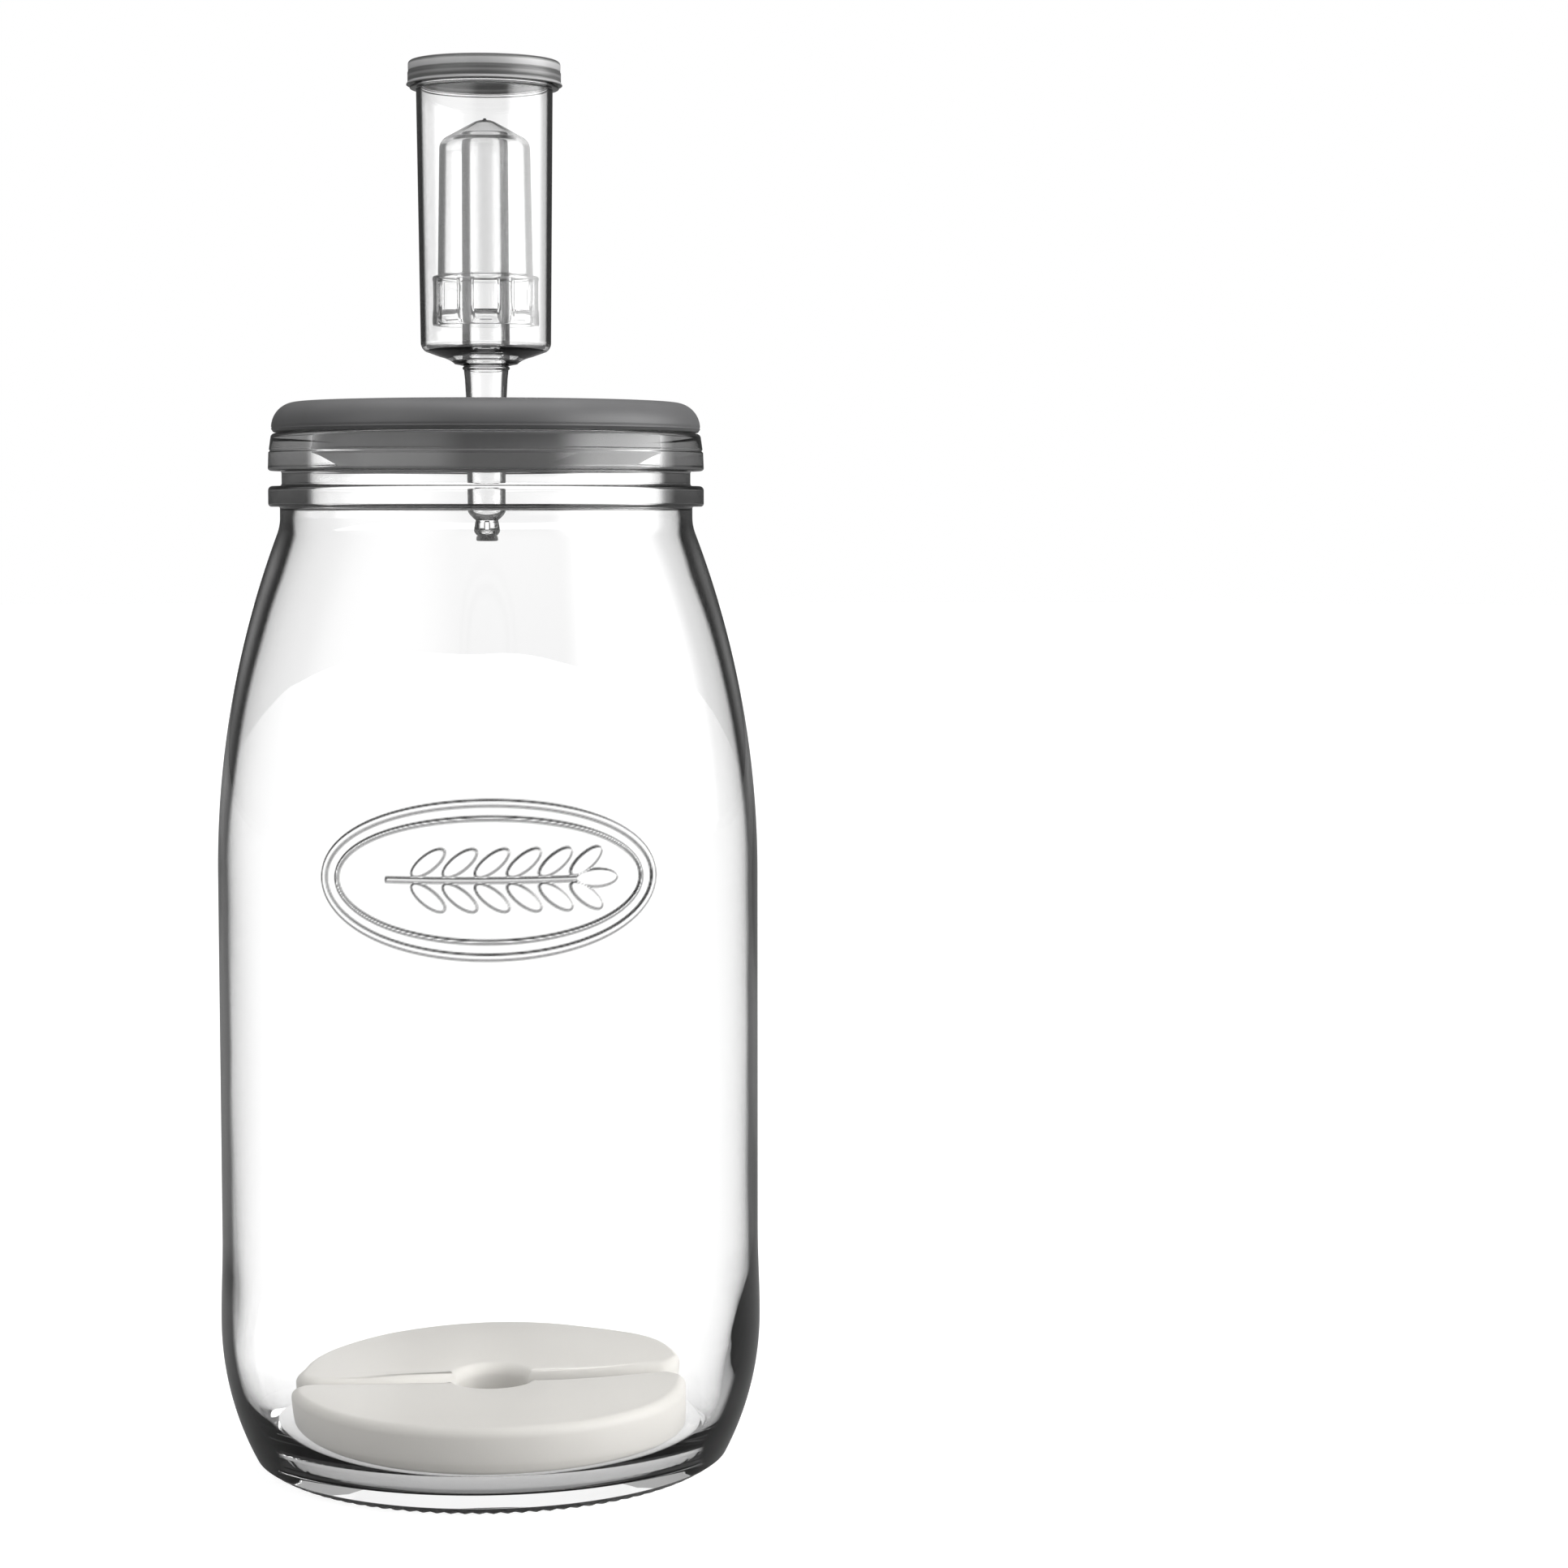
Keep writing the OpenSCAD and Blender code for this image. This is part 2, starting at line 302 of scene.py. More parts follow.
def piece(name, mesh, body, slot, *materials):
    """Makes an object of a bmesh, lets it ride on its body, and stands it for its node."""
    data = bpy.data.meshes.new(name)
    mesh.to_mesh(data)
    mesh.free()
    data.polygons.foreach_set("use_smooth", [True] * len(data.polygons))
    made = bpy.data.objects.new(name + "_look", data)
    bpy.context.scene.collection.objects.link(made)
    for material in materials:
        data.materials.append(material)
    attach(made, body)
    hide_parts(name)
    print(f"{name}: {len(data.vertices)} points, {len(data.polygons)} faces")
    return made


# %% [markdown]
# ## Clear materials
# A camera sees the rim of a clear wall along the wall and not across it, so in
# front of a white background each edge turns into a dark band. A ray that
# misses the hollow inside is thrown back by the inner wall and finds the dark
# studio at the side, so the band is as wide as the wall is thick. On top of what
# the glass itself shows, the band is painted shade in the colour of the clear
# material, set by Facing, from Layer Weight, which says how slantwise the surface
# is seen. Each mesh carries the numbers of its painted band as attributes:
# `edge`, the slant at which the band begins, `depth`, how dark it is, `stripe`,
# how much lighter its middle is (a painted lighter stripe), `haze`, how
# much painted shade the clear part gets towards it, `veil`, the loss everywhere,
# and `relief`, painted shade on the steep sides of moulded marks.

# %% Find where the dark band begins
def band_start(inner, outer):
    """Layer Weight's Facing where a ray first misses a hollow, from the two radii."""
    return 1 - math.sqrt(1 - min(inner / outer, 0.999) ** 2)


print(f"a wall of a tenth of the radius is dark from a slant of {band_start(0.9, 1.0):.2f}")

# %% [markdown]
# ## One group paints the shade of every clear edge
# Glass and plastic share the painted dark band, so it is a node group. A clear
# Principled shader passes the square root of its colour, and so the group gives
# the light that is kept after the painted shade, squared.

# %% Make the band group
def new_group(name, inputs, outputs):
    """An empty node group; inputs and outputs are names with their kinds."""
    group = bpy.data.node_groups.new(name, "ShaderNodeTree")
    for way, sockets in (("INPUT", inputs), ("OUTPUT", outputs)):
        for title, kind in sockets:
            group.interface.new_socket(title, in_out=way, socket_type="NodeSocket" + kind)
    return group, group.nodes.new("NodeGroupInput").outputs, group.nodes.new("NodeGroupOutput").inputs


band_inputs = ["Slant", "Edge", "Depth", "Stripe", "Haze", "Veil", "Relief", "Softness"]
band_group, given, result = new_group("clear_edge", [(n, "Float") for n in band_inputs], [("Kept", "Color")])
# Painted shade of a clear edge: a dark band past the edge slant, a painted lighter stripe in its middle, painted
# shade fading in towards it, and painted shade on relief sides.
reach_in = maths(band_group, "MINIMUM", maths(band_group, "DIVIDE", given["Slant"], given["Edge"]), 1.0)
steeply = maths(band_group, "MULTIPLY", maths(band_group, "POWER", reach_in, 6.0), 0.85)
slowly = maths(band_group, "MULTIPLY", reach_in, 0.15)
hazy = maths(band_group, "MULTIPLY", maths(band_group, "ADD", steeply, slowly), given["Haze"])
half_soft = maths(band_group, "MULTIPLY", given["Softness"], 0.5)
low = maths(band_group, "SUBTRACT", given["Edge"], half_soft)
high = maths(band_group, "ADD", given["Edge"], half_soft)
in_band = between(band_group, given["Slant"], low, high)
into = maths(band_group, "SUBTRACT", given["Slant"], given["Edge"])
across = maths(band_group, "DIVIDE", into, maths(band_group, "SUBTRACT", 1.0, given["Edge"]))
rise, fall = between(band_group, across, 0.12, 0.45), between(band_group, across, 0.45, 0.82, 1.0, 0.0)
lit = maths(band_group, "MULTIPLY", maths(band_group, "MULTIPLY", rise, fall), given["Stripe"])
darkness = maths(band_group, "MULTIPLY", given["Depth"], maths(band_group, "SUBTRACT", 1.0, lit))
kept = maths(band_group, "SUBTRACT", 1.0, maths(band_group, "MULTIPLY", darkness, in_band))
for loss in (hazy, given["Veil"], given["Relief"]):
    kept = maths(band_group, "MULTIPLY", kept, maths(band_group, "SUBTRACT", 1.0, loss))
band_group.links.new(maths(band_group, "POWER", kept, 2.0), result["Kept"])
print("band group:", len(band_group.nodes), "nodes")

# %% Make the clear materials
def new_material(name):
    """An empty material with its output and a Principled shader."""
    material = bpy.data.materials.new(name)
    material.use_nodes = True
    tree = material.node_tree
    tree.nodes.clear()
    shader = tree.nodes.new("ShaderNodeBsdfPrincipled")
    out = tree.nodes.new("ShaderNodeOutputMaterial")
    tree.links.new(shader.outputs[0], out.inputs["Surface"])
    return material, tree, shader, out


def clear(name, shine, shadow, softness=0.0):
    """A clear solid with a light shadow; with a softness, its slanting edges get a band of painted shade."""
    material, tree, shader, out = new_material(name)
    shader.inputs["Base Color"].default_value = (1, 1, 1, 1)
    shader.inputs["Roughness"].default_value = 0.0
    shader.inputs["IOR"].default_value = 1.5
    shader.inputs["Specular IOR Level"].default_value = shine
    shader.inputs["Transmission Weight"].default_value = 1.0
    if softness:
        slant = node_of(tree, "ShaderNodeLayerWeight", Blend=0.5).outputs["Facing"]
        band = node_of(tree, "ShaderNodeGroup", node_tree=band_group, Softness=softness)
        tree.links.new(slant, band.inputs["Slant"])
        for title in ("Edge", "Depth", "Stripe", "Haze", "Veil", "Relief"):
            number = node_of(tree, "ShaderNodeAttribute", attribute_name=title.lower())
            tree.links.new(number.outputs["Fac"], band.inputs[title])
        tree.links.new(band.outputs["Kept"], shader.inputs["Base Color"])
    path = node_of(tree, "ShaderNodeLightPath")
    shade = node_of(tree, "ShaderNodeBsdfTransparent", Color=(shadow, shadow, shadow, 1))
    mixed = node_of(tree, "ShaderNodeMixShader")
    tree.links.new(path.outputs["Is Shadow Ray"], mixed.inputs[0])
    tree.links.new(shader.outputs[0], mixed.inputs[1])
    tree.links.new(shade.outputs[0], mixed.inputs[2])
    tree.links.new(mixed.outputs[0], out.inputs["Surface"])
    return material


glass = clear("jar_glass", 0.4, 0.93, softness=0.06)
glass_inside = clear("jar_glass_inside", 0.4, 0.96)
plastic = clear("airlock_plastic", 0.15, 0.9, softness=0.1)
plastic_inside = clear("airlock_plastic_inside", 0.15, 0.95)
print("clear materials:", glass.name, glass_inside.name, plastic.name, plastic_inside.name)

# %% [markdown]
# ## The jar
# The jar is blown in a mould: a straight wall with a slightly fuller foot, a
# long shoulder, and a finish with a ring, a groove and two steps for the lid.
# Its outline goes under the base, up the outside, over the rim and down the
# inside, so one spin makes a wall with its true thickness, which refraction
# needs. Every ring is an arc, because sharp corners in glass catch no light.

# %% Sizes of the jar
wall_r = wide_r - 0.5
wall = 2.6
inner_r = wall_r - wall
mouth_r = 44.6
neck_r, neck_z = wall_r - 16.5, rim_z - 21
shoulder_z = rim_z - 111.4
floor_z, floor_r, knee_z = 7.0, inner_r - 16, 36.0
ring_r, punt_r, punt_rise = 51.0, 46.5, 2.6
heel_r, heel_z = wall_r - 7.9, 3.4
bulge_z, bulge_end_z = 38.0, 60.0
throat_z, step_end_z = rim_z - 18.3, rim_z - 19.2
neck_fillet, neck_wall = 12.0, 3.4
throat_r, inner_fillet = neck_r - neck_wall, neck_fillet + neck_wall
bead_z, groove_z, tier_z, step_z = rim_z - 18.4, rim_z - 13.2, rim_z - 9.4, rim_z - 4.4
bead_r, groove_r, tier_r, rim_r = neck_r + 2.9, neck_r - 0.5, neck_r + 2.9, neck_r + 2.2

punt_bow = bow(punt_r, punt_rise)
heel_bow = bow(heel_r - ring_r, heel_z)
side_bow = bow(bulge_z - heel_z, wide_r - heel_r)
shoulder_bow = bow(neck_z - shoulder_z, wall_r - neck_r) - neck_fillet
shoulder_c = (wall_r - shoulder_bow, shoulder_z)
fillet_a = math.degrees(math.asin((neck_z - shoulder_z) / (shoulder_bow + neck_fillet)))
inner_bow = bow(neck_z - shoulder_z, inner_r - throat_r) - inner_fillet
inner_a = math.degrees(math.asin((neck_z - shoulder_z) / (inner_bow + inner_fillet)))
heel_a = math.degrees(math.asin((heel_r - ring_r) / heel_bow))
side_a = math.degrees(math.asin((bulge_z - heel_z) / side_bow))
print(f"shoulder: an arc of {shoulder_bow:.0f} mm over {fillet_a:.1f} degrees")

# %% Outline of the jar
pitch = 1.9
under = arc((0, punt_rise - punt_bow), punt_bow, 90, 90 - math.degrees(math.asin(punt_r / punt_bow)), 9)
outside = (
    even((punt_r, 0), (ring_r, 0), 1.5)
    + arc((ring_r, heel_bow), heel_bow, -90, heel_a - 90, 10)
    + arc((wide_r - side_bow, bulge_z), side_bow, -side_a, 0, 20)
    + ease((wide_r, bulge_z), (wall_r, bulge_end_z), 9)
    + even((wall_r, bulge_end_z), (wall_r, shoulder_z), pitch)
    + arc(shoulder_c, shoulder_bow, 0, fillet_a, 46)
    + arc((neck_r + neck_fillet, neck_z), neck_fillet, 180 + fillet_a, 180, 8)
)
finish = (
    [(neck_r, bead_z - 0.6)]
    + arc((neck_r + 0.35, bead_z - 0.35), 0.35, 180, 90, 3)
    + arc((bead_r - 0.8, bead_z + 0.8), 0.8, -90, 0, 4)
    + arc((bead_r - 1.1, groove_z - 1.1), 1.1, 0, 90, 5)
    + arc((groove_r + 0.6, groove_z + 0.6), 0.6, -90, -180, 3)
    + arc((groove_r + 0.6, tier_z - 0.6), 0.6, 180, 90, 3)
    + arc((tier_r - 0.7, tier_z + 0.7), 0.7, -90, 0, 4)
    + [(rim_r + 0.55, step_z - 0.4), (rim_r + 0.15, step_z), (rim_r + 0.4, step_z + 0.4)]
    + arc((rim_r - 1.2, rim_z - 1.2), 1.2, 0, 90, 6)
)
inside = (
    arc((mouth_r + 1.3, rim_z - 1.3), 1.3, 90, 180, 6)
    + even((mouth_r, rim_z - 1.3), (mouth_r, throat_z), 4)
    + ease((mouth_r, throat_z), (throat_r, step_end_z), 9)
    + arc((throat_r + inner_fillet, neck_z), inner_fillet, 180, 180 + inner_a, 7)
    + arc((inner_r - inner_bow, shoulder_z), inner_bow, inner_a, 0, 28)
    + even((inner_r, shoulder_z), (inner_r, knee_z), 8)
    + oval((floor_r, knee_z), inner_r - floor_r, knee_z - floor_z, 0, -90, 18)
    + even((floor_r, floor_z), (0, floor_z), 8)
    + [(0, floor_z)]
)
steps = 200
jar_mesh = turned(under + outside + finish + inside, steps, inside)
print(f"jar: {len(jar_mesh.verts)} points, and its rings lie about {pitch} mm apart")

# %% [markdown]
# ## What moulding leaves on the glass
# The inner face of moulded glass is never quite true, so its edges wander. A
# little smooth noise on the radius does that, and the glass is thicker in the
# foot's corner on one side, where the soft glass sank. The bearing ring under it
# is knurled, so that the hot jar cools evenly: every second ring of points is
# drawn back, which gives one ridge for every two steps of the turning.

# %% Wave the inner face and knurl the heel
wave, wave_size = 0.22, 0.03
corner_z, corner_reach, corner_push = 27.0, 21.0, 2.2


def thicker(point):
    """How much more glass than elsewhere lies in the foot's corner at a place, in mm."""
    away = abs(point.z / MM - corner_z) / corner_reach
    side = max(0.0, point.x / max(math.hypot(point.x, point.y), 1e-6))
    return corner_push * side**2 * (1 - away**2) ** 2 if away < 1 else 0.0


inner_layer = jar_mesh.verts.layers.float["inner"]
for vert in jar_mesh.verts:
    r, z = radius(vert.co), vert.co.z / MM
    if r < 1:
        continue
    if vert[inner_layer] > 0.5 and knee_z < z < rim_z - 3:
        push = wave * noise.noise(Vector((vert.co.x, vert.co.y, vert.co.z * 0.7)) / wave_size)
        vert.co.x += vert.co.x / r * push
        vert.co.y += vert.co.y / r * push
    if vert[inner_layer] > 0.5:
        less = thicker(vert.co)
        vert.co.x -= vert.co.x / r * less
        vert.co.y -= vert.co.y / r * less
    if ring_r + 0.5 < r < heel_r and z < heel_z - 0.4 and z < 3:
        turn = round(math.atan2(vert.co.y, vert.co.x) / (2 * math.pi) * steps)
        if turn % 2:
            vert.co.z += 0.32 * MM
            vert.co.x -= vert.co.x / r * 0.3
            vert.co.y -= vert.co.y / r * 0.3
print("waved and knurled")

# %% [markdown]
# ## The moulded mark on the front
# A jar of this kind carries a moulded mark where the shoulder starts. This one
# has an oval frame round a sprig of leaves, raised by less than half a
# millimetre. The faces there are cut into a fine grid, and each new point is
# put back on the true curve of the wall and then raised by the drawing's
# height. The drawing is made of soft-edged ovals, so it has no steps. Its steep
# sides also get painted shade in the glass's colour, stronger on one side of
# each raised shape than on the other.

# %% Draw the mark
mark_z, mark_w, mark_h = 157.0, 43.0, 19.5
mark_rise, mark_slope = 0.5, 0.85
leaf_long, leaf_wide = 4.9, 1.9


def oval_gap(u, v, a, b):
    """About how far (u, v) lies outside an ellipse, in mm; negative inside."""
    f = math.hypot(u / a, v / b)
    if f < 1e-6:
        return -min(a, b)
    return (f - 1) * f / math.hypot(u / a**2, v / b**2)


def leaves():
    """Centre, turn and half sizes of every leaf of the sprig."""
    made = [(26.0, 0.0, 0.0, 5.4, 2.1)]
    for i in range(6):
        u = -18.0 + 7.6 * i
        for side in (-1, 1):
            made.append((u + 3.4, side * 4.1, side * math.radians(38), leaf_long, leaf_wide))
    return made


sprig = leaves()


def mark_gap(u, v):
    """How far (u, v) lies outside the nearest raised shape of the mark."""
    gap = abs(oval_gap(u, v, mark_w - 1.2, mark_h - 1.2)) - 0.7
    gap = min(gap, abs(oval_gap(u, v, mark_w - 4.8, mark_h - 4.8)) - 0.4)
    if abs(u) < 34 and abs(v) < 9:
        gap = min(gap, max(abs(v) - 0.5, abs(u) - 25))
        for cu, cv, turn, a, b in sprig:
            du, dv = u - cu, v - cv
            along = du * math.cos(turn) + dv * math.sin(turn)
            across = -du * math.sin(turn) + dv * math.cos(turn)
            gap = min(gap, oval_gap(along, across, a, b))
    return gap


def mark_height(u, v):
    t = min(1.0, max(0.0, 0.5 - mark_gap(u, v) / mark_slope))
    return mark_rise * t * t * (3 - 2 * t)


print(f"mark {2 * mark_w:.0f} by {2 * mark_h:.0f} mm, {len(sprig)} leaves")

# %% Raise the mark and paint shade on its steep sides
def wall_at(z):
    """Radius of the jar's outer face at a height over its foot, in mm."""
    if z <= shoulder_z:
        return wall_r
    return shoulder_c[0] + math.sqrt(shoulder_bow**2 - (z - shoulder_z) ** 2)


def mark_place(point):
    """A point's place on the mark: along the wall from its middle, and up from its middle."""
    return math.atan2(point.x, -point.y) * wall_r, point.z / MM - mark_z


def under_mark(face):
    centre = face.calc_center_median()
    u, v = mark_place(centre)
    return radius(centre) > wall_at(centre.z / MM) - 0.5 and math.hypot(u / (mark_w + 3), v / (mark_h + 3)) < 1


blank = [f for f in jar_mesh.faces if f.calc_center_median().z / MM > mark_z - 25 and under_mark(f)]
edges = list({e for f in blank for e in f.edges})
bmesh.ops.subdivide_edges(jar_mesh, edges=edges, cuts=5, use_grid_fill=True)
relief_layer = jar_mesh.verts.layers.float.new("relief")
grid = 0.2
for vert in jar_mesh.verts:
    z = vert.co.z / MM
    if abs(z - mark_z) > mark_h + 4 or radius(vert.co) < wall_at(z) - 0.5:
        continue
    u, v = mark_place(vert.co)
    if abs(u) > mark_w + 4:
        continue
    rise = mark_height(u, v)
    lean_u = (mark_height(u + grid, v) - mark_height(u - grid, v)) / (2 * grid)
    lean_v = (mark_height(u, v + grid) - mark_height(u, v - grid)) / (2 * grid)
    steep = math.hypot(lean_u, lean_v) / (1.5 * mark_rise / mark_slope)
    # Painted shade on the steep sides of the mark, stronger on one side of each raised shape than on the other.
    vert[relief_layer] = min(1.0, steep * 1.3) * (0.8 + 0.17 * max(-1, min(1, (lean_u - lean_v) * 1.6)))
    scale = (wall_at(z) + rise) / radius(vert.co)
    vert.co.x *= scale
    vert.co.y *= scale
print(f"mark: {len(blank)} faces were cut, jar now {len(jar_mesh.faces)} faces")

# %% Set the painted edge shade and make the jar
inner_line = tidy(inside)


def inner_at(z):
    """Radius of the jar's hollow at a height, in mm."""
    for (r0, z0), (r1, z1) in zip(inner_line, inner_line[1:]):
        if min(z0, z1) <= z <= max(z0, z1) and abs(z1 - z0) > 1e-6:
            return r0 + (r1 - r0) * (z - z0) / (z1 - z0)
    return mouth_r


def along(stops, z):
    """A value at a height, from stops of height and value, with straight lines between."""
    z = min(max(z, stops[0][0]), stops[-1][0])
    for (z0, d0), (z1, d1) in zip(stops, stops[1:]):
        if z <= z1:
            return d0 + (d1 - d0) * (z - z0) / (z1 - z0)


# The jar's painted edge shade by height in mm: how dark the band is, how much painted shade fades in towards it, how
# much wider it is, and how much lighter its painted middle stripe is.
jar_depth = [(0, 0.98), (36, 0.97), (70, 0.82), (150, 0.8), (185, 0.9), (225, 0.93), (240, 0.92), (265, 0.55)]
jar_haze = [(0, 0.12), (60, 0.08), (150, 0.06), (200, 0.06), (240, 0.12), (265, 0.05)]
jar_wider = [(160, 0.0), (185, 0.03), (228, 0.05), (242, 0.0)]
jar_stripe = [(0, 0.0), (40, 0.04), (150, 0.1), (170, 0.35), (230, 0.55), (240, 0.05), (265, 0.0)]


def set_numbers(mesh, **choices):
    """Writes attributes on every point; each choice is a function of the point in metres."""
    for name, choose in choices.items():
        layer = mesh.verts.layers.float.new(name)
        for vert in mesh.verts:
            vert[layer] = choose(vert.co)


def jar_edge(point):
    r, z = radius(point), max(point.z / MM, 12)
    hollow_r = inner_at(z) - thicker(point)
    wander = 0.012 * noise.noise(point * 60) - along(jar_wider, point.z / MM)
    return band_start(hollow_r, max(r, hollow_r + 1)) + wander


set_numbers(
    jar_mesh,
    edge=jar_edge,
    depth=lambda p: along(jar_depth, p.z / MM),
    haze=lambda p: along(jar_haze, p.z / MM),
    stripe=lambda p: along(jar_stripe, p.z / MM) * (1 + 0.8 * noise.noise(p * 45)),
)
finish_inside(jar_mesh)
jar = piece("glass_jar", jar_mesh, "jar", "clear_glass", glass, glass_inside)

# %% [markdown]
# ## A mottle for the soft solids
# Silicone, cloudy plastic and glaze are never one even tone. One node group
# gives all three a faint cloud in colour and in gloss, on Object coordinates.

# %% Make the mottle group
mottle_inputs = [("Place", "Vector"), ("Grain", "Float"), ("Darkest", "Float"), ("Roughest", "Float")]
mottle, given, result = new_group("faint_mottle", mottle_inputs, [("Tone", "Float"), ("Roughness", "Float")])
cloud = node_of(mottle, "ShaderNodeTexNoise", Detail=3.0)
mottle.links.new(given["Place"], cloud.inputs["Vector"])
mottle.links.new(given["Grain"], cloud.inputs["Scale"])
tone = between(mottle, cloud.outputs["Fac"], 0.2, 0.8, given["Darkest"], 1.0)
mottle.links.new(tone, result["Tone"])
smoothest = maths(mottle, "MULTIPLY", given["Roughest"], 0.92)
rough = between(mottle, cloud.outputs["Fac"], 0.2, 0.8, given["Roughest"], smoothest)
mottle.links.new(rough, result["Roughness"])


def soft_solid(name, colour, roughest, grain, darkest=0.85, bands=None, cloudy=0.0):
    """A satin solid with a faint mottle; with bands, its colour changes with height."""
    material, tree, shader, out = new_material(name)
    place = node_of(tree, "ShaderNodeTexCoord").outputs["Object"]
    cloud = node_of(tree, "ShaderNodeGroup", node_tree=mottle, Grain=grain, Darkest=darkest, Roughest=roughest)
    tree.links.new(place, cloud.inputs["Place"])
    tree.links.new(cloud.outputs["Roughness"], shader.inputs["Roughness"])
    shader.inputs["Transmission Weight"].default_value = cloudy
    tinted = node_of(tree, "ShaderNodeMix", data_type="RGBA", blend_type="MULTIPLY")
    tinted.inputs[0].default_value = 1.0
    tinted.inputs[6].default_value = (*colour, 1)
    tree.links.new(cloud.outputs["Tone"], tinted.inputs[7])
    tree.links.new(tinted.outputs[2], shader.inputs["Base Color"])
    if bands:
        height = node_of(tree, "ShaderNodeSeparateXYZ")
        tree.links.new(place, height.inputs[0])
        low, high = bands[0][0], bands[-1][0]
        share = maths(tree, "DIVIDE", maths(tree, "SUBTRACT", height.outputs["Z"], low * MM), (high - low) * MM)
        ramp = tree.nodes.new("ShaderNodeValToRGB")
        while len(ramp.color_ramp.elements) < len(bands):
            ramp.color_ramp.elements.new(0.5)
        for element, (z, grey) in zip(ramp.color_ramp.elements, bands):
            element.position = (z - low) / (high - low)
            element.color = (grey, grey, grey, 1)
        tree.links.new(share, ramp.inputs[0])
        tree.links.new(ramp.outputs["Color"], tinted.inputs[6])
    return material


# %% [markdown]
# ## The lid
# The lid is one moulding in soft grey silicone: a domed flange on the rim and a
# hollow plug in the mouth. It is turned too. A thin bead just above the lower
# edge is where the two halves of its mould met.

# %% Turn the lid
stem_bore_r = 5.2
seat_z = rim_z + 0.25
plug_r = mouth_r - 0.3
plug_foot_r = plug_r - 7.2
plug_hollow_r = plug_foot_r - 3.2
lid_round, lid_web, hub_r = lid_top - rim_z - 1.4, 3.4, 9.0
lid_outline = (
    arc((stem_bore_r + 0.4, lid_top - 0.4), 0.4, 90, 180, 3)
    + [(stem_bore_r, plug_z + 1.0), (stem_bore_r + 0.4, plug_z + 0.6), (hub_r - 0.5, plug_z + 0.6)]
    + [(hub_r, plug_z + 1.1), (hub_r + 0.6, lid_top - lid_web - 0.8), (hub_r + 1.6, lid_top - lid_web)]
    + even((hub_r + 1.6, lid_top - lid_web), (plug_hollow_r - 1.5, lid_top - lid_web), 4)
    + arc((plug_hollow_r - 1.5, lid_top - lid_web - 1.2), 1.2, 90, 0, 4)
    + [(plug_hollow_r, plug_z + 0.5), (plug_hollow_r + 0.5, plug_z)]
    + arc((plug_foot_r - 0.5, plug_z + 1), 1, -90, -62, 3)
    + [(plug_r - 2.2, plug_z + 3)]
    + arc((plug_r - 1.2, plug_z + 4.6), 1.2, -40, 0, 4)
    + [(plug_r, seat_z - 0.6), (plug_r + 0.2, seat_z - 0.1), (plug_r + 0.6, seat_z)]
    + even((plug_r + 0.6, seat_z), (lid_r - 0.8, seat_z), 2)
    + arc((lid_r - 0.8, seat_z + 0.55), 0.55, -90, -20, 4)
    + [(lid_r - 0.16, seat_z + 0.62)]
    + arc((lid_r - 0.22, seat_z + 0.85), 0.22, -60, 60, 4)
    + [(lid_r - 0.15, seat_z + 1.1)]
    + arc((lid_r - lid_round, lid_top - lid_round), lid_round, 2, 90, 20)
    + even((lid_r - lid_round, lid_top), (stem_bore_r + 0.4, lid_top), 4)
)

# %% Make the lid
silicone = soft_solid("lid_silicone", (0.105, 0.105, 0.107), 0.48, 60.0)
lid = piece("silicone_lid", turned(lid_outline, 160), "lid", "grey_silicone", silicone)

# %% [markdown]
# ## The airlock's cup, tube and stem
# Cup, centre tube and stem are one clear moulding. The stem ends in a small
# bulb with crossed slots, which keeps food out and lets gas in. The slots are
# made in the turned mesh: faces are deleted on the outside and on the inside,
# and bridge_loops joins the two openings into a hole with walls.

# %% Cut holes through a turned wall
def cut_windows(mesh, count, columns, low, high):
    """Opens holes between two heights, each some columns of faces wide, and walls them."""
    step = 360 / columns[1]
    for i in range(count):
        middle_a = 360 / count * i
        hole = []
        for face in mesh.faces:
            centre = face.calc_center_median()
            away = (math.degrees(math.atan2(centre.y, centre.x)) - middle_a + 180) % 360 - 180
            if low < centre.z / MM < high and abs(away) < columns[0] * step / 2:
                hole.append(face)
        bmesh.ops.delete(mesh, geom=hole, context="FACES")
        rim = [e for e in mesh.edges if len(e.link_faces) == 1]
        bmesh.ops.bridge_loops(mesh, edges=rim)
    bmesh.ops.recalc_face_normals(mesh, faces=mesh.faces)


